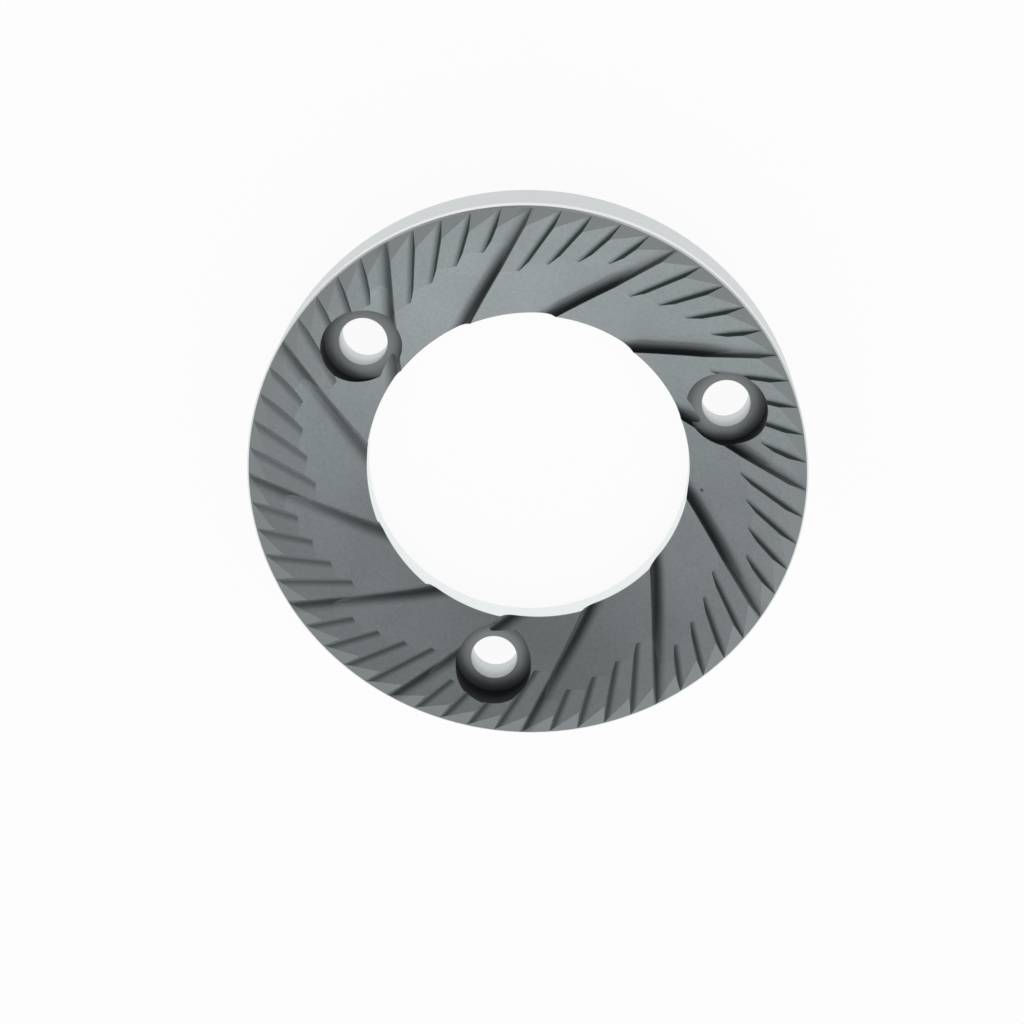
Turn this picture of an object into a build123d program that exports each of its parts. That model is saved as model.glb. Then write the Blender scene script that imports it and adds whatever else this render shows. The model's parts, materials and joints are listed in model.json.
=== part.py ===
from build123d import *
import os
from math import acos, atan, cos, degrees, radians, sin, sqrt, tan

# Body: a flat ring that lies on its back, with its teeth facing up. Millimetres and degrees.
outer_diameter = 64.0
bore_diameter = 37.4
thickness = 8.5
back_rim_chamfer = 0.6
back_bore_chamfer = 1.5
top_rim_chamfer = 0.2

# Screw holes: a straight recess with a flat seat for the head, then the hole
screw_count = 3
screw_circle = 48.3
screw_start = 90.0
screw_hole = 5.5
screw_head_recess = 9.0
screw_seat_height = 4.6
screw_back_chamfer = 0.8

# Teeth: straight cutting edges, all tangent to one circle about the ring's axis
breaker_count = 12
grooves_per_breaker = 5
edge_circle_radius = 13.8
edge_lead = 7.65

# Breakers: each facet belongs to a steep inlet cone whose axis stands off the ring's own axis
breaker_bore_depth = 4.95
breaker_cone_slope = 28.6
breaker_cone_offset = 4.2
breaker_wall_draft = 32.0
breaker_root_radius = 0.7
breaker_overlap = 0.5

# Fine grooves: a flat floor that rises outward and runs out just inside the rim
groove_floor_slope = 9.6
groove_facet_angle = 14.8
groove_wall_draft = 42.0
groove_root_radius = 0.35
groove_root_offset = 0.3
groove_overlap = 0.4
groove_rim_land = 0.35

# Room that the cutters keep beyond the ring where they are open
clearance = 1.0

outer_radius = outer_diameter / 2
bore_radius = bore_diameter / 2
breaker_pitch = 360 / breaker_count
groove_pitch = breaker_pitch / grooves_per_breaker
up = Vector(0, 0, 1)


def edge_swing(radius):
    """Angle about the axis from the point of a cutting edge nearest it out to a radius."""
    return degrees(acos(edge_circle_radius / radius))


def along_edge(radius):
    """Distance along a cutting edge from its point nearest the axis out to a radius."""
    return sqrt(radius**2 - edge_circle_radius**2)


# Across the first cutting edge, towards its facet, and outward along it
edge_turn = screw_start + edge_lead + edge_swing(outer_radius)
across = Vector(1, 0, 0).rotate(Axis.Z, edge_turn)
outward = Vector(0, -1, 0).rotate(Axis.Z, edge_turn)

# Breaker: the inlet cone, deepest where the first cutting edge meets the bore
edge_start = across * edge_circle_radius
cone_root = edge_start + outward * along_edge(bore_radius)
breaker_middle = edge_turn - edge_swing(bore_radius) + breaker_pitch / 2
cone_centre = Vector(0, -breaker_cone_offset, 0).rotate(Axis.Z, breaker_middle)
cone_root_radius = (cone_root - cone_centre).length
cone_spread = 1 / tan(radians(breaker_cone_slope))
cone_top_radius = cone_root_radius + breaker_bore_depth * cone_spread

# The cone leaves the next cutting edge as a straight slope from its tip at the bore to the top
next_across = across.rotate(Axis.Z, breaker_pitch)
next_outward = outward.rotate(Axis.Z, breaker_pitch)
tip_radius = (cone_root.rotate(Axis.Z, breaker_pitch) - cone_centre).length
tip_depth = breaker_bore_depth - (tip_radius - cone_root_radius) / cone_spread
chord_offset = edge_circle_radius - cone_centre.dot(next_across)
edge_run_out = cone_centre.dot(next_outward) + sqrt(cone_top_radius**2 - chord_offset**2)
edge_grade = tip_depth / (edge_run_out - along_edge(bore_radius))
edge_slope = atan(edge_grade)
edge_direction = outward * cos(edge_slope) + up * sin(edge_slope)
edge_start_depth = edge_run_out * edge_grade
breaker_foot = up * (thickness - edge_start_depth)
breaker_plane = Plane(origin=edge_start + breaker_foot, x_dir=across, z_dir=edge_direction)
cone_foot_radius = cone_root_radius - (edge_start_depth - breaker_bore_depth) * cone_spread
cone_rim_radius = cone_top_radius + clearance * cone_spread
breaker_reach = 2 * cone_rim_radius
breaker_drop = breaker_bore_depth - tip_depth + clearance
breaker_height = edge_start_depth + clearance
breaker_width = outer_diameter * sin(radians(breaker_pitch / 2)) + breaker_overlap
breaker_lean = tan(radians(breaker_wall_draft))

with BuildPart() as breaker_cutter:
    with BuildSketch(breaker_plane):
        with BuildLine():
            Polyline(
                (breaker_drop * breaker_lean, -breaker_drop),
                (breaker_width, -breaker_drop),
                (breaker_width, breaker_height),
                (-breaker_height * breaker_lean, breaker_height),
                close=True,
            )
        make_face()
    extrude(amount=breaker_reach)
    with Locations(cone_centre + breaker_foot):
        Cone(
            cone_foot_radius,
            cone_rim_radius,
            breaker_height,
            align=(Align.CENTER, Align.CENTER, Align.MIN),
            mode=Mode.INTERSECT,
        )
    cone_face = breaker_cutter.faces().filter_by(GeomType.CONE)[0]
    wall_face = breaker_cutter.faces().sort_by(Axis(edge_start, across))[0]
    fillet([edge for edge in cone_face.edges() if edge in wall_face.edges()], breaker_root_radius)

# Fine groove: one straight wedge from inside the bore out to the land at the rim
groove_slope = radians(groove_floor_slope)
groove_stop = along_edge(outer_radius - groove_rim_land)
groove_start_depth = groove_stop * tan(groove_slope)
groove_height = groove_start_depth + clearance
groove_lean = tan(radians(groove_wall_draft))
groove_width = outer_diameter * sin(radians(groove_pitch / 2)) + groove_overlap
groove_direction = outward * cos(groove_slope) + up * sin(groove_slope)
groove_origin = edge_start + across * groove_root_offset + up * (thickness - groove_start_depth)
groove_plane = Plane(origin=groove_origin, x_dir=across, z_dir=groove_direction)

with BuildPart() as groove_cutter:
    with BuildSketch(groove_plane) as groove_section:
        with BuildLine():
            Polyline(
                (0, 0),
                (groove_width, groove_width * tan(radians(groove_facet_angle))),
                (groove_width, groove_height),
                (-groove_height * groove_lean, groove_height),
                close=True,
            )
        make_face()
        root = groove_section.vertices().sort_by_distance(groove_plane.origin)[0]
        fillet(root, groove_root_radius)
    extrude(amount=groove_stop / cos(groove_slope) + clearance)

# The burr: ring, chamfers, teeth and screw holes
with BuildPart() as burr:
    with BuildSketch():
        Circle(outer_radius)
        Circle(bore_radius, mode=Mode.SUBTRACT)
    extrude(amount=thickness)
    back_edges = burr.edges().group_by(Axis.Z)[0].sort_by(SortBy.RADIUS)
    top_edges = burr.edges().group_by(Axis.Z)[-1].sort_by(SortBy.RADIUS)
    chamfer(back_edges[-1], back_rim_chamfer)
    chamfer(back_edges[0], back_bore_chamfer)
    chamfer(top_edges[-1], top_rim_chamfer)
    with PolarLocations(0, breaker_count):
        add(breaker_cutter.part, mode=Mode.SUBTRACT)
    with PolarLocations(0, breaker_count * grooves_per_breaker):
        add(groove_cutter.part, mode=Mode.SUBTRACT)
    with Locations((0, 0, thickness)):
        with PolarLocations(screw_circle / 2, screw_count, screw_start):
            CounterBoreHole(
                screw_hole / 2,
                screw_head_recess / 2,
                counter_bore_depth=thickness - screw_seat_height,
                depth=thickness,
            )
    back_holes = burr.edges().group_by(Axis.Z)[0].sort_by(SortBy.RADIUS)[:screw_count]
    chamfer(back_holes, screw_back_chamfer)

os.makedirs("parts", exist_ok=True)
burr.part.label = "burr"
export_step(burr.part, "parts/burr.step")
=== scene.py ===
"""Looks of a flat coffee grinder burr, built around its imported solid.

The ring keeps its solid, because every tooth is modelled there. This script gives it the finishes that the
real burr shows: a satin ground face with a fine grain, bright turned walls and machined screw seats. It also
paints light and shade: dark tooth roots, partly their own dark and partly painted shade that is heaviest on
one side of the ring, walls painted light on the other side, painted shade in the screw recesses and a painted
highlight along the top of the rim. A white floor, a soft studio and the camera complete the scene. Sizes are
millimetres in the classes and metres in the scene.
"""

import json
import logging
import math
from dataclasses import dataclass
from enum import Enum
from typing import Any, Union

import bpy
import numpy as np
from mathutils import Matrix, Vector

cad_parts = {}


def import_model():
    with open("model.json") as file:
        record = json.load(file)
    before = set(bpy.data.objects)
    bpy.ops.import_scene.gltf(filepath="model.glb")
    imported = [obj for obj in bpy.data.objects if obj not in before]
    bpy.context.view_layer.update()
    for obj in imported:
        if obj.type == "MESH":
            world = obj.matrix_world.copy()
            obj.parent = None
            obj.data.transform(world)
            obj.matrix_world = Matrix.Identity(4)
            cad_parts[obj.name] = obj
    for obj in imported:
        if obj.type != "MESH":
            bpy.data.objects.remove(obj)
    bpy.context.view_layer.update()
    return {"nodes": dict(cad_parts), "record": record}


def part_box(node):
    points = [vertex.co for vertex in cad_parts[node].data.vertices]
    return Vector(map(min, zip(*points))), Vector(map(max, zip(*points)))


LOG = logging.getLogger("burr")
METRES = 0.001
WHITE = (1.0, 1.0, 1.0)

Colour = tuple[float, float, float]
Point = tuple[float, float, float]
Span = tuple[float, float]
Number = Union["Signal", float]


class MathOp(Enum):
    """The operations of a Math node that the shaders use."""

    ADD = "ADD"
    SUBTRACT = "SUBTRACT"
    MULTIPLY = "MULTIPLY"
    DIVIDE = "DIVIDE"
    ROOT = "SQRT"
    SINE = "SINE"
    COSINE = "COSINE"
    ARC_COSINE = "ARCCOSINE"
    ARC_TANGENT = "ARCTAN2"
    REMAINDER = "FLOORED_MODULO"
    LARGER = "MAXIMUM"


class Signal:
    """One socket of a shader, which Python's operators extend with Math nodes."""

    def __init__(self, graph: "ShaderGraph", socket: bpy.types.NodeSocket) -> None:
        """Keeps the graph that the socket belongs to, and the socket."""
        self.graph = graph
        self.socket = socket

    def __add__(self, other: Number) -> "Signal":
        """Sum of two values."""
        return self.graph.math(MathOp.ADD, self, other)

    def __radd__(self, other: Number) -> "Signal":
        """Sum with a plain number on the left."""
        return self.graph.math(MathOp.ADD, other, self)

    def __sub__(self, other: Number) -> "Signal":
        """Difference of two values."""
        return self.graph.math(MathOp.SUBTRACT, self, other)

    def __rsub__(self, other: Number) -> "Signal":
        """Difference with a plain number on the left."""
        return self.graph.math(MathOp.SUBTRACT, other, self)

    def __mul__(self, other: Number) -> "Signal":
        """Product of two values."""
        return self.graph.math(MathOp.MULTIPLY, self, other)

    def __rmul__(self, other: Number) -> "Signal":
        """Product with a plain number on the left."""
        return self.graph.math(MathOp.MULTIPLY, other, self)

    def __rtruediv__(self, other: Number) -> "Signal":
        """Quotient with a plain number on the left."""
        return self.graph.math(MathOp.DIVIDE, other, self)


class ShaderGraph:
    """A node tree with one method for its nodes and a few for what they often do."""

    def __init__(self, tree: bpy.types.NodeTree) -> None:
        """Empties the tree and keeps it.

        Args:
            tree: The node tree of a material or a world.
        """
        self.tree = tree
        tree.nodes.clear()

    def node(self, kind: str, settings: dict[str, Any] | None = None,
             sockets: dict[str | int, Any] | None = None) -> bpy.types.Node:
        """Adds one node.

        Args:
            kind: The node's type, without the leading ShaderNode.
            settings: Its own settings, which are set first.
            sockets: Values or signals for its inputs, by identifier, name or number.

        Returns:
            The new node.
        """
        node = self.tree.nodes.new("ShaderNode" + kind)
        for name, value in (settings or {}).items():
            setattr(node, name, value)
        for key, value in (sockets or {}).items():
            self._feed(self._input(node, key), value)
        return node

    @staticmethod
    def _input(node: bpy.types.Node, key: str | int) -> bpy.types.NodeSocket:
        """Finds an input by number, identifier or name.

        Args:
            node: The node that has the input.
            key: The input's number, identifier or name.

        Returns:
            The input socket.
        """
        if isinstance(key, int):
            return node.inputs[key]
        by_identifier = {socket.identifier: socket for socket in node.inputs}
        return by_identifier.get(key) or node.inputs[key]

    def _feed(self, socket: bpy.types.NodeSocket, value: Any) -> None:
        """Links a signal to an input, or sets the input's own value.

        Args:
            socket: The input.
            value: A signal, a number, a vector or a colour.
        """
        if isinstance(value, Signal):
            self.tree.links.new(value.socket, socket)
        elif socket.type == "RGBA":
            socket.default_value = (*value, 1.0)
        else:
            socket.default_value = value

    def out(self, node: bpy.types.Node, key: str | int = 0) -> Signal:
        """One output of a node as a signal."""
        return Signal(self, node.outputs[key])

    def math(self, operation: MathOp, *values: Number) -> Signal:
        """Adds a Math node.

        Args:
            operation: What it works out.
            values: Its inputs in order.

        Returns:
            Its result.
        """
        sockets = dict(enumerate(values))
        return self.out(self.node("Math", {"operation": operation.value}, sockets))

    def vector(self, x: Number, y: Number, z: Number) -> Signal:
        """Joins three values into a vector."""
        return self.out(self.node("CombineXYZ", None, {0: x, 1: y, 2: z}))

    def step(self, value: Number, low: float, high: float) -> Signal:
        """Smooth step from 0 below low to 1 above high.

        Args:
            value: The value that is tested.
            low: Where the step starts.
            high: Where it ends.

        Returns:
            The step, from 0 to 1.
        """
        sockets = {"Value": value, "From Min": low, "From Max": high}
        return self.out(self.node("MapRange", {"interpolation_type": "SMOOTHSTEP"}, sockets))

    def blend(self, factor: Number, first: Any, second: Any) -> Signal:
        """Mixes two colours.

        Args:
            factor: 0 gives the first colour and 1 the second.
            first: A colour or a signal.
            second: A colour or a signal.

        Returns:
            The mixed colour.
        """
        sockets = {"Factor_Float": factor, "A_Color": first, "B_Color": second}
        mix = self.node("Mix", {"data_type": "RGBA"}, sockets)
        return Signal(self, next(socket for socket in mix.outputs if socket.identifier == "Result_Color"))

    def noise(self, place: Signal, scale: float, detail: float = 2.0) -> Signal:
        """Noise from 0 to 1 at a place.

        Args:
            place: The vector where the noise is read.
            scale: Features for each unit of the vector.
            detail: Number of finer layers.

        Returns:
            The noise value.
        """
        sockets = {"Vector": place, "Scale": scale, "Detail": detail}
        return self.out(self.node("TexNoise", None, sockets), "Fac")


@dataclass(frozen=True)
class SteelFinish:
    """How one kind of steel surface looks.

    Attributes:
        colour: Its reflected colour.
        roughness: Its gloss, from 0 for a mirror to 1.
    """

    colour: Colour
    roughness: float


GROUND_FACE = SteelFinish((0.262, 0.290, 0.298), 0.46)
GROUND_LAND = SteelFinish((0.275, 0.300, 0.306), 0.27)
TURNED_WALL = SteelFinish((0.58, 0.61, 0.62), 0.34)
BORE_WALL = SteelFinish((0.84, 0.87, 0.87), 0.34)
# Painted highlight along the top of the rim
PAINTED_RIM_HIGHLIGHT = SteelFinish((0.78, 0.80, 0.80), 0.32)
SCREW_SEAT = SteelFinish((0.252, 0.273, 0.279), 0.42)
# Painted shade on the walls of the screw recesses and in the corners of their seats
RECESS_PAINTED_SHADE = SteelFinish((0.050, 0.054, 0.057), 0.50)
# Painted light: tooth walls coloured lighter than the face, as walls that face the light; on the other side
# of the ring the roots' painted shade covers them
PAINTED_LIT_GROOVE_WALL = SteelFinish((0.41, 0.44, 0.45), 0.46)
PAINTED_LIT_BREAKER_WALL = SteelFinish((0.66, 0.69, 0.70), 0.46)
# Dark of the tooth roots, partly their own dark and partly painted shade, and the painted shade that a
# breaker's wall casts on the facet beside it, which also colours one small pit
GROOVE_ROOT_AND_PAINTED_SHADE = SteelFinish((0.095, 0.108, 0.111), 0.55)
BREAKER_SHADE = SteelFinish((0.040, 0.046, 0.050), 0.55)
BREAKER_ROOT_AND_PAINTED_SHADE = SteelFinish((0.020, 0.023, 0.025), 0.60)

# Upward part of the surface's normal, from where each zone starts to where it is full
LAND_RISE: Span = (0.992, 0.998)
SEAT_RISE: Span = (0.97, 0.99)
FINE_RISE: Span = (0.90, 0.93)
PIT_RISE: Span = (0.5, 0.6)
UPRIGHT_RISE: Span = (0.3, 0.5)
STEEP_TILT: Span = (0.14, 0.27)

# Distance from a wall's radius over which its finish ends
BORE_SKIN: Span = (0.01, 0.05)
RECESS_SKIN: Span = (0.02, 0.05)
HOLE_SKIN: Span = (0.02, 0.08)
RIM_SKIN: Span = (0.24, 0.16)
RIM_HIGHLIGHT_SKIN: Span = (0.21, 0.17)

# Depth of the rim's painted highlight below the lands, and height of the back's finish
RIM_HIGHLIGHT_DEPTH: Span = (1.8, 1.3)
BACK_HEIGHT: Span = (0.3, 1.2)

# Shade in the corner of a screw seat and at the top of a screw hole
CORNER_WIDTH = 1.5
CORNER_SHADE = 0.6
HOLE_SHADE_HEIGHT: Span = (1.5, 4.6)
HOLE_SHADE = 0.6

# Tone of the ground face: broad clouds and fine speckle
TONE_SPREAD = 0.07
TONE_SPAN: Span = (0.3, 0.7)
CLOUD_SCALE, CLOUD_DETAIL, CLOUD_SHARE = 0.16, 2.0, 0.4
SPECKLE_SCALE, SPECKLE_DETAIL = 2.5, 3.0

# Relief of the grain: blasted pits and the lay of the tool
PIT_SCALE, PIT_DETAIL, PIT_SHARE = 5.0, 3.0, 0.7
LAY_ACROSS, LAY_ALONG = 7.0, 0.5
GRAIN_STRENGTH, GRAIN_DEPTH = 0.35, 0.02


@dataclass(frozen=True)
class RootBand:
    """How the soft dark band along the root of a tooth lies: partly the root's own dark and partly painted
    shade.

    Attributes:
        near: Distance of its darkest line past the cutting edge where the painted shade is heaviest.
        shift: How much further past the edge the line lies where the walls are painted lit.
        before: Width of the band on the side of the tooth's wall.
        after: Width of the band on the side of its facet.
        least: Strength of the band where the painted shade is weakest.
    """

    near: float
    shift: float
    before: float
    after: float
    least: float


GROOVE_BAND = RootBand(0.05, 0.55, 0.35, 0.75, 0.5)
BREAKER_BAND = RootBand(0.3, 0.75, 0.95, 1.4, 0.62)

# Where the painted shade grows round the ring, how far a breaker's wall reaches, and how its dark shifts and
# fades towards the rim
SHADE_SPAN: Span = (0.0, 0.75)
BREAKER_WALL_REACH: Span = (1.2, 1.5)
SHIFT_RADII: Span = (20.0, 28.0)
SHIFT_AT_BORE, SHIFT_AT_RIM = 1.1, 0.3
FADE_RADII: Span = (22.5, 33.0)
FADE_SHADED, FADE_LIT = 0.85, 0.40


@dataclass(frozen=True)
class ToothSignals:
    """Places on the burr that its shader reads, in millimetres and radians.

    Attributes:
        place: Object coordinates.
        height: Height above the back face.
        turn: Angle about the ring's axis.
        radius: Distance from the ring's axis.
        along: Distance along the nearest cutting edge from its point nearest the axis.
        past_groove: Distance past the nearest cutting edge, measured square to it.
        past_breaker: The same from the nearest breaker's edge.
        hole_radius: Distance from the axis of the nearest screw hole.
        rise: Upward part of the surface's own normal.
    """

    place: Signal
    height: Signal
    turn: Signal
    radius: Signal
    along: Signal
    past_groove: Signal
    past_breaker: Signal
    hole_radius: Signal
    rise: Signal


@dataclass
class Burr:
    """The toothed steel ring, with the sizes that its finish follows.

    Attributes:
        outer_radius: Radius of the rim.
        bore_radius: Radius of the bore.
        thickness: Height of the flat lands above the back.
        screw_circle_radius: Radius of the circle through the screw holes.
        screw_radius: Radius of a screw hole.
        screw_count: Number of screw holes.
        screw_start: Angle of the first screw hole, in degrees.
        recess_radius: Radius of the recess for a screw's head.
        edge_circle_radius: Radius of the circle that every cutting edge touches.
        edge_lead: Angle from a screw hole to the rim end of a cutting edge, in degrees.
        breaker_count: Number of breakers.
        edge_count: Number of cutting edges in all.
        lit_turn: Angle where the walls of the teeth are painted lightest, as walls facing the light, in
            degrees.
        shaded_turn: Angle where the roots of the teeth have their heaviest painted shade, in degrees.
        speck: Radius and angle of a small dark pit in one facet, in millimetres and degrees.
        speck_radius: Size of that pit.
    """

    outer_radius: float
    bore_radius: float
    thickness: float
    screw_circle_radius: float
    screw_radius: float
    screw_count: int
    screw_start: float = 90.0
    recess_radius: float = 4.5
    edge_circle_radius: float = 13.8
    edge_lead: float = 7.65
    breaker_count: int = 12
    edge_count: int = 60
    lit_turn: float = 50.0
    shaded_turn: float = 140.0
    speck: tuple[float, float] = (20.3, -176.6)
    speck_radius: float = 0.3

    @classmethod
    def from_frame(cls, record: dict[str, Any]) -> "Burr":
        """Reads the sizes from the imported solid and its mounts.

        Args:
            record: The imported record.

        Returns:
            The burr with those sizes.
        """
        lowest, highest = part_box("burr")
        mounts = {mount["name"]: mount["dims"] for mount in record["mounts"]}
        return cls(
            outer_radius=(highest.x - lowest.x) / 2 / METRES,
            bore_radius=mounts["centre_bore"]["r_mm"],
            thickness=(highest.z - lowest.z) / METRES,
            screw_circle_radius=mounts["screws"]["pcd_mm"] / 2,
            screw_radius=mounts["screws"]["hole_r_mm"],
            screw_count=mounts["screws"]["count"],
        )

    def dress(self, node: bpy.types.Object) -> bpy.types.Object:
        """Gives the solid its steel.

        Args:
            node: The burr's own object in the frame.

        Returns:
            The same object.
        """
        node.data.materials[0] = self.steel()
        return node

    def steel(self) -> bpy.types.Material:
        """Builds the steel with all its zones.

        Returns:
            The material.
        """
        material = bpy.data.materials.new("burr_steel_dressed")
        material.use_nodes = True
        graph = ShaderGraph(material.node_tree)
        teeth = self.tooth_signals(graph)
        colour, roughness = self.zones(graph, teeth)
        shader = graph.node("BsdfPrincipled", None, {
            "Metallic": 1.0,
            "Base Color": colour,
            "Roughness": roughness,
            "Normal": self.grain(graph, teeth),
        })
        graph.node("OutputMaterial", None, {"Surface": graph.out(shader)})
        return material

    def tooth_signals(self, graph: ShaderGraph) -> ToothSignals:
        """Works out where a point lies on the teeth.

        A cutting edge is a line that touches the edge circle of radius d. At a radius r it stands at the
        angle of its touching point less the arc cosine of d / r, and u, the root of r squared less d squared,
        is the distance along it. A point that stands an angle a past the edge lies d cos a + u sin a - d
        across from it.

        Args:
            graph: The shader.

        Returns:
            The signals.
        """
        coordinates = graph.node("TexCoord")
        scale = graph.node("VectorMath", {"operation": "SCALE"},
                           {"Vector": graph.out(coordinates, "Object"), "Scale": 1 / METRES})
        place = graph.out(scale)
        parts = graph.node("SeparateXYZ", None, {0: place})
        x, y, height = (graph.out(parts, axis) for axis in "XYZ")
        normal = graph.node("SeparateXYZ", None, {0: graph.out(coordinates, "Normal")})
        radius = graph.math(MathOp.ROOT, x * x + y * y)
        turn = graph.math(MathOp.ARC_TANGENT, y, x)

        touch = self.edge_circle_radius
        safe_radius = graph.math(MathOp.LARGER, radius, touch)
        swing = graph.math(MathOp.ARC_COSINE, touch / safe_radius)
        along = graph.math(MathOp.ROOT, safe_radius * safe_radius - touch * touch)
        rim_swing = math.acos(touch / self.outer_radius)
        first_edge = math.radians(self.screw_start + self.edge_lead) + rim_swing
        past_groove, past_breaker = (
            touch * graph.math(MathOp.COSINE, angle) + along * graph.math(MathOp.SINE, angle) - touch
            for angle in (
                graph.math(MathOp.REMAINDER, turn + swing - first_edge, math.tau / count)
                for count in (self.edge_count, self.breaker_count)
            )
        )

        share = math.tau / self.screw_count
        past_hole = turn - math.radians(self.screw_start) + share / 2
        to_hole = graph.math(MathOp.REMAINDER, past_hole, share) - share / 2
        hole_x = radius * graph.math(MathOp.COSINE, to_hole) - self.screw_circle_radius
        hole_y = radius * graph.math(MathOp.SINE, to_hole)
        hole_radius = graph.math(MathOp.ROOT, hole_x * hole_x + hole_y * hole_y)
        rise = graph.out(normal, "Z")
        return ToothSignals(place, height, turn, radius, along, past_groove, past_breaker, hole_radius, rise)

    def zones(self, graph: ShaderGraph, teeth: ToothSignals) -> tuple[Signal, Signal]:
        """Lays the finishes over the face, the tooth roots, the screw seats and the turned walls, and paints
        shade in the roots and recesses, light on the walls of one side and a highlight on the rim.

        Args:
            graph: The shader.
            teeth: Where a point lies on the teeth.

        Returns:
            The base colour and the roughness.
        """
        in_recess = self.inside(graph, teeth.hole_radius, self.recess_radius, RECESS_SKIN)
        on_seat = in_recess * graph.step(teeth.rise, *SEAT_RISE)
        on_recess_wall = in_recess * (1 - graph.step(teeth.rise, *UPRIGHT_RISE))
        seat_corner = graph.step(teeth.hole_radius, self.recess_radius - CORNER_WIDTH, self.recess_radius)
        hole_wall = self.inside(graph, teeth.hole_radius, self.screw_radius, HOLE_SKIN)
        hole_top = hole_wall * graph.step(teeth.height, *HOLE_SHADE_HEIGHT)
        bore_wall = self.inside(graph, teeth.radius, self.bore_radius, BORE_SKIN)

        steep = graph.step(1 - teeth.rise, *STEEP_TILT) * (1 - in_recess)
        on_land = graph.step(teeth.rise, *LAND_RISE) * (1 - in_recess)
        on_fine = graph.step(teeth.rise, *FINE_RISE) * (1 - on_land)
        # Painted shade and light round the ring: the roots are painted darkest at one angle, and the walls
        # are painted lightest near the opposite angle, as on the side that faces the light
        lit_side = self.sway(graph, teeth, self.lit_turn)
        shaded_side = 1 - lit_side
        root_shade = graph.step(self.sway(graph, teeth, self.shaded_turn), *SHADE_SPAN)
        dark = graph.math(MathOp.LARGER, root_shade, shaded_side)
        groove_band = self.root_band(graph, GROOVE_BAND, teeth.past_groove, lit_side, dark)
        groove_band = groove_band * graph.math(MathOp.LARGER, on_fine, steep)

        shift = SHIFT_AT_BORE + (SHIFT_AT_RIM - SHIFT_AT_BORE) * graph.step(teeth.radius, *SHIFT_RADII)
        fade = FADE_SHADED + (FADE_LIT - FADE_SHADED) * lit_side
        rim_fade = 1 - fade * graph.step(teeth.radius, *FADE_RADII)
        breaker_band = self.root_band(graph, BREAKER_BAND, teeth.past_breaker, lit_side * shift, dark) * rim_fade
        breaker_wall = steep * (1 - graph.step(teeth.past_breaker, *BREAKER_WALL_REACH)) * rim_fade

        shades = (
            (on_land, GROUND_LAND),
            (steep, PAINTED_LIT_GROOVE_WALL),
            (steep * shaded_side, GROOVE_ROOT_AND_PAINTED_SHADE),
            (groove_band, GROOVE_ROOT_AND_PAINTED_SHADE),
            (breaker_wall, PAINTED_LIT_BREAKER_WALL),
            (breaker_wall * shaded_side * shaded_side, BREAKER_ROOT_AND_PAINTED_SHADE),
            (breaker_band, BREAKER_SHADE),
            (on_seat, SCREW_SEAT),
            (on_seat * seat_corner * CORNER_SHADE, RECESS_PAINTED_SHADE),
            (on_recess_wall, RECESS_PAINTED_SHADE),
            (self.wall_mask(graph, teeth), TURNED_WALL),
            (hole_wall, TURNED_WALL),
            (bore_wall, BORE_WALL),
            (hole_top * HOLE_SHADE, SCREW_SEAT),
            (self.rim_highlight_mask(graph, teeth), PAINTED_RIM_HIGHLIGHT),
            (self.speck_mask(graph, teeth), BREAKER_SHADE),
        )
        colour = self.face_tone(graph, teeth)
        roughness: Number = GROUND_FACE.roughness
        for mask, finish in shades:
            colour = graph.blend(mask, colour, finish.colour)
            roughness = roughness + mask * (finish.roughness - roughness)
        return colour, roughness

    @staticmethod
    def face_tone(graph: ShaderGraph, teeth: ToothSignals) -> Signal:
        """Colours the ground face a little lighter and darker from place to place.

        Args:
            graph: The shader.
            teeth: Where a point lies on the teeth.

        Returns:
            The colour.
        """
        clouds = graph.noise(teeth.place, CLOUD_SCALE, CLOUD_DETAIL) * CLOUD_SHARE
        speckle = graph.noise(teeth.place, SPECKLE_SCALE, SPECKLE_DETAIL) * (1 - CLOUD_SHARE)
        darker, lighter = (
            tuple(level * part for part in GROUND_FACE.colour) for level in (1 - TONE_SPREAD, 1 + TONE_SPREAD)
        )
        return graph.blend(graph.step(clouds + speckle, *TONE_SPAN), darker, lighter)

    @staticmethod
    def inside(graph: ShaderGraph, distance: Signal, radius: float, skin: Span) -> Signal:
        """Marks what lies within a round wall, with the wall itself.

        Args:
            graph: The shader.
            distance: Distance from the wall's axis.
            radius: The wall's radius.
            skin: Distance outside the wall where the mark starts to end and where it has ended.

        Returns:
            1 inside and 0 outside.
        """
        return 1 - graph.step(distance, radius + skin[0], radius + skin[1])

    @staticmethod
    def sway(graph: ShaderGraph, teeth: ToothSignals, turn: float) -> Signal:
        """Rises and falls once round the ring.

        Args:
            graph: The shader.
            teeth: Where a point lies on the teeth.
            turn: Angle where it is highest, in degrees.

        Returns:
            1 at that angle and 0 opposite it.
        """
        return 0.5 + 0.5 * graph.math(MathOp.COSINE, teeth.turn - math.radians(turn))

    @staticmethod
    def root_band(graph: ShaderGraph, band: RootBand, past: Signal, shift: Signal, dark: Signal) -> Signal:
        """Shapes the soft dark band along the root of a tooth, partly the root's own dark and partly painted
        shade.

        Args:
            graph: The shader.
            band: How the band lies.
            past: Distance past the cutting edge.
            shift: Share of the band's own shift.
            dark: How strong the painted shade is, from 0 to 1.

        Returns:
            The band's strength on its darkest line, and 0 outside the band.
        """
        past_line = past - (band.near + band.shift * shift)
        shape = graph.step(past_line, -band.before, 0.0) * (1 - graph.step(past_line, 0.0, band.after))
        return shape * (band.least + (1 - band.least) * dark)

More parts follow.
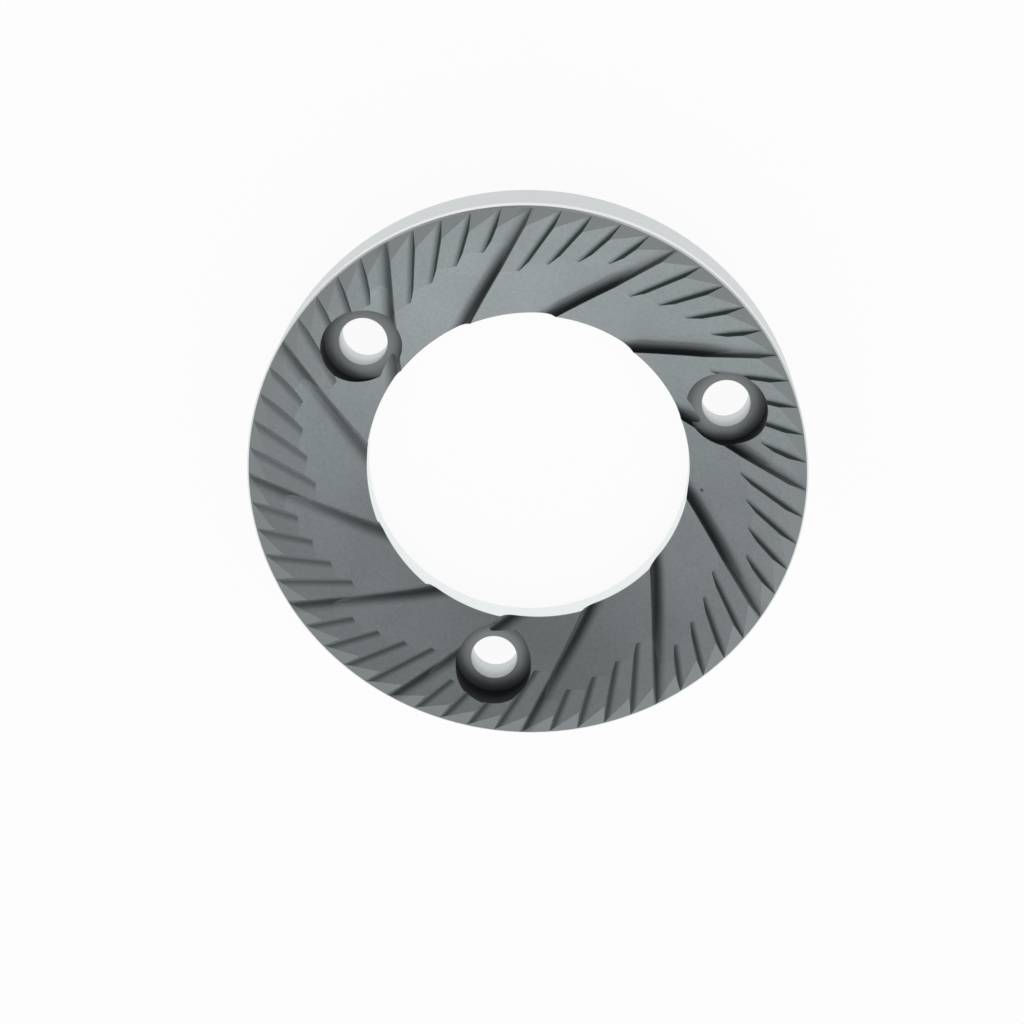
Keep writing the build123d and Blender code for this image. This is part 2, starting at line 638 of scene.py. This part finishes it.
    def rim_highlight_mask(self, graph: ShaderGraph, teeth: ToothSignals) -> Signal:
        """Marks the upper part of the rim, where a highlight is painted.

        Args:
            graph: The shader.
            teeth: Where a point lies on the teeth.

        Returns:
            1 on that part and 0 elsewhere.
        """
        outside = graph.step(teeth.radius, *(self.outer_radius - skin for skin in RIM_HIGHLIGHT_SKIN))
        return outside * graph.step(teeth.height, *(self.thickness - depth for depth in RIM_HIGHLIGHT_DEPTH))

    def speck_mask(self, graph: ShaderGraph, teeth: ToothSignals) -> Signal:
        """Marks one small dark pit in a facet.

        Args:
            graph: The shader.
            teeth: Where a point lies on the teeth.

        Returns:
            1 in the pit and 0 elsewhere.
        """
        radius, angle = self.speck[0], math.radians(self.speck[1])
        middle = Vector((radius * math.cos(angle), radius * math.sin(angle), 0.0))
        flat = graph.node("VectorMath", {"operation": "MULTIPLY"}, {0: teeth.place, 1: (1.0, 1.0, 0.0)})
        gap = graph.node("VectorMath", {"operation": "DISTANCE"}, {0: graph.out(flat), 1: middle})
        near = 1 - graph.step(graph.out(gap, "Value"), 0.0, self.speck_radius)
        return near * graph.step(teeth.rise, *PIT_RISE)

    def wall_mask(self, graph: ShaderGraph, teeth: ToothSignals) -> Signal:
        """Marks the rim and the back, which are turned bright.

        Args:
            graph: The shader.
            teeth: Where a point lies on the teeth.

        Returns:
            1 there and 0 on the toothed face.
        """
        rim = graph.step(teeth.radius, *(self.outer_radius - skin for skin in RIM_SKIN))
        back = 1 - graph.step(teeth.height, *BACK_HEIGHT)
        return graph.math(MathOp.LARGER, rim, back)

    def grain(self, graph: ShaderGraph, teeth: ToothSignals) -> Signal:
        """Adds the fine blasted grain and the lay of the tool along the teeth.

        Args:
            graph: The shader.
            teeth: Where a point lies on the teeth.

        Returns:
            The normal.
        """
        pits = graph.noise(teeth.place, PIT_SCALE, PIT_DETAIL)
        lay_place = graph.vector(teeth.past_groove * LAY_ACROSS, teeth.along * LAY_ALONG, teeth.height)
        lay = graph.noise(lay_place, 1.0)
        bump = graph.node("Bump", None, {
            "Strength": GRAIN_STRENGTH,
            "Distance": GRAIN_DEPTH * METRES,
            "Height": pits * PIT_SHARE + lay * (1 - PIT_SHARE),
        })
        return graph.out(bump)


@dataclass(frozen=True)
class SoftBox:
    """One patch of the studio that is brighter or darker than the rest.

    Attributes:
        way: Direction of its middle.
        edge: Angle from its middle where it ends, in degrees.
        core: Angle from its middle within which it is full, in degrees.
        level: Brightness that it adds, or takes away where it is below 0.
    """

    way: Point
    edge: float
    core: float
    level: float


@dataclass
class Studio:
    """The white floor, the soft light all round and the camera.

    Attributes:
        floor_half: Half the floor's side.
        floor_cells: Cells along the floor's side.
        floor_colour: Colour of the floor in plain light.
        floor_glow: Share of plain white in what the camera sees of the floor; the rest shows the shadow.
        sky_level: Brightness of the studio all round.
        boxes: Patches that are brighter or darker than that.
        aim: Point of the floor at the picture's centre.
        distance: Distance from there to the camera.
        azimuth: Way that the camera looks, in degrees; 0 looks along +Y.
        elevation: Angle of the camera above the floor, in degrees.
        roll: Turn of the picture about the line of sight, in degrees.
        focal_pixels: Focal length in pixels of the picture.
        picture_pixels: Side of the picture in pixels.
        sensor: Width of the camera's sensor.
        near_clip: Distance from the camera within which it sees nothing.
    """

    floor_half: float = 2500.0
    floor_cells: int = 32
    floor_colour: Colour = (0.92, 0.92, 0.92)
    floor_glow: float = 0.93
    sky_level: float = 0.45
    boxes: tuple[SoftBox, ...] = (
        SoftBox((-0.12, 0.90, 0.43), 52.0, 12.0, 1.04),
        SoftBox((0.0, 0.26, 0.97), 15.0, 4.0, 0.35),
        SoftBox((0.0, 0.62, 0.78), 16.0, 4.0, -0.65),
        SoftBox((-0.80, 0.35, 0.48), 48.0, 12.0, 0.47),
        SoftBox((0.88, 0.25, 0.40), 40.0, 12.0, 0.48),
        SoftBox((-0.40, -0.66, 0.64), 42.0, 8.0, 0.26),
        SoftBox((0.25, -0.96, 0.0), 35.0, 10.0, -0.40),
    )
    aim: Point = (0.82, 7.17, 0.0)
    distance: float = 249.85
    azimuth: float = 3.51
    elevation: float = 68.74
    roll: float = -173.70
    focal_pixels: float = 2100.0
    picture_pixels: int = 1024
    sensor: float = 36.0
    near_clip: float = 25.0

    def floor_surface(self) -> tuple[np.ndarray, np.ndarray]:
        """Works out the floor: x and y run evenly from one side to the other, and z is 0.

        Returns:
            The corners and the faces.
        """
        line = np.linspace(-self.floor_half, self.floor_half, self.floor_cells + 1) * METRES
        x, y = np.meshgrid(line, line, indexing="ij")
        corners = np.stack([x, y, np.zeros_like(x)], axis=-1).reshape(-1, 3)
        numbers = np.arange(corners.shape[0]).reshape(x.shape)
        faces = np.stack([numbers[:-1, :-1], numbers[1:, :-1], numbers[1:, 1:], numbers[:-1, 1:]], axis=-1)
        return corners, faces.reshape(-1, 4)

    def build_floor(self) -> bpy.types.Object:
        """Makes the floor.

        Returns:
            The floor's object.
        """
        corners, faces = self.floor_surface()
        mesh = bpy.data.meshes.new("floor")
        mesh.from_pydata(corners.tolist(), [], faces.tolist())
        mesh.materials.append(self.floor_white())
        floor = bpy.data.objects.new("floor", mesh)
        bpy.context.scene.collection.objects.link(floor)
        return floor

    def floor_white(self) -> bpy.types.Material:
        """Builds the floor's matt white, which glows for the camera and in reflections but keeps its shadow.

        Returns:
            The material.
        """
        material = bpy.data.materials.new("floor_white")
        material.use_nodes = True
        graph = ShaderGraph(material.node_tree)
        matt = graph.node("BsdfDiffuse", None, {"Color": self.floor_colour})
        glow = graph.node("Emission", None, {"Color": WHITE, "Strength": 1.0})
        rays = graph.node("LightPath")
        camera_ray, glossy_ray, clear_ray = (
            graph.out(rays, f"Is {kind} Ray") for kind in ("Camera", "Glossy", "Transmission")
        )
        mirrored = graph.math(MathOp.LARGER, glossy_ray, clear_ray)
        seen = graph.math(MathOp.LARGER, camera_ray * self.floor_glow, mirrored)
        mix = graph.node("MixShader", None, {0: seen, 1: graph.out(matt), 2: graph.out(glow)})
        graph.node("OutputMaterial", None, {"Surface": graph.out(mix)})
        return material

    def build_sky(self) -> None:
        """Lights the scene from all round and from its boxes, with plain white where the camera sees it."""
        world = bpy.data.worlds.new("studio")
        world.use_nodes = True
        bpy.context.scene.world = world
        graph = ShaderGraph(world.node_tree)
        direction = graph.out(graph.node("TexCoord"), "Generated")
        level: Number = self.sky_level
        for box in self.boxes:
            middle = Vector(box.way).normalized()
            facing = graph.node("VectorMath", {"operation": "DOT_PRODUCT"}, {0: direction, 1: middle})
            edge, core = (math.cos(math.radians(angle)) for angle in (box.edge, box.core))
            level = level + box.level * graph.step(graph.out(facing, "Value"), edge, core)
        rays = graph.node("LightPath")
        seen = graph.out(rays, "Is Camera Ray")
        strength = level + seen * (1 - level)
        light = graph.node("Background", None, {"Color": WHITE, "Strength": strength})
        graph.node("OutputWorld", None, {"Surface": graph.out(light)})

    def build_camera(self) -> bpy.types.Object:
        """Places the camera by its angles and makes it the scene's.

        Returns:
            The camera's object.
        """
        angles = (self.azimuth, self.elevation, self.roll)
        azimuth, elevation, roll = (math.radians(angle) for angle in angles)
        back = Vector((math.sin(azimuth) * math.cos(elevation), -math.cos(azimuth) * math.cos(elevation),
                       math.sin(elevation)))
        level_right = Vector((0.0, 0.0, 1.0)).cross(back).normalized()
        level_up = back.cross(level_right)
        right = level_right * math.cos(roll) + level_up * math.sin(roll)
        up = back.cross(right)
        lens = bpy.data.cameras.new("camera")
        lens.sensor_width = self.sensor
        lens.lens = self.sensor * self.focal_pixels / self.picture_pixels
        lens.clip_start = self.near_clip * METRES
        camera = bpy.data.objects.new("camera", lens)
        camera.matrix_world = Matrix.Translation((Vector(self.aim) + back * self.distance) * METRES) @ Matrix(
            (right, up, back)).transposed().to_4x4()
        bpy.context.scene.collection.objects.link(camera)
        bpy.context.scene.camera = camera
        return camera


def main() -> None:
    """Builds the scene in order and reports each piece."""
    logging.basicConfig(level=logging.INFO, format="%(name)s: %(message)s")
    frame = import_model()
    bpy.context.scene.view_settings.view_transform = "Standard"

    burr = Burr.from_frame(frame["record"])
    dressed = burr.dress(frame["nodes"]["burr"])
    LOG.info("%s dressed, %d triangles", dressed.name, len(dressed.data.polygons))

    studio = Studio()
    for piece in (studio.build_floor(), studio.build_camera()):
        LOG.info("%s made", piece.name)
    studio.build_sky()


if __name__ == "__main__":
    main()
